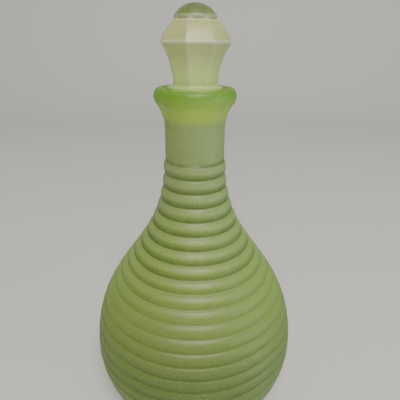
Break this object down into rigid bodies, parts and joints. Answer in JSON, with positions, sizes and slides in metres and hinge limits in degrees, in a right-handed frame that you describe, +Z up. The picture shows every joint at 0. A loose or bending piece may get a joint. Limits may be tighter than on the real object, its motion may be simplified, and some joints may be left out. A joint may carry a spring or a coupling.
{
  "type": "stoppered glass bottle",
  "caption": "Pear-shaped satin glass bottle with horizontal ribs, a plain neck and flared lip, closed by a faceted glass stopper with a ground plug.",
  "frame": {"origin": "centre of the foot ring, on the surface that the bottle stands on", "axes": "+Z up along the bottle's axis; -Y is the side that one flat of the stopper nearly faces"},
  "size_m": [0.1258, 0.1258, 0.2436],
  "materials": {
    "bottle_glass": "satin-etched yellow-green glass",
    "stopper_glass": "satin-etched pale green solid glass"
  },
  "bodies": {
    "bottle": {"bottle": "bottle_glass"},
    "stopper": {"stopper": "stopper_glass"}
  },
  "joints": [
    {"name": "stopper_lift", "type": "slide", "parent": "bottle", "child": "stopper", "axis": [0, 0, 1], "range_m": [0, 0.05]}
  ]
}
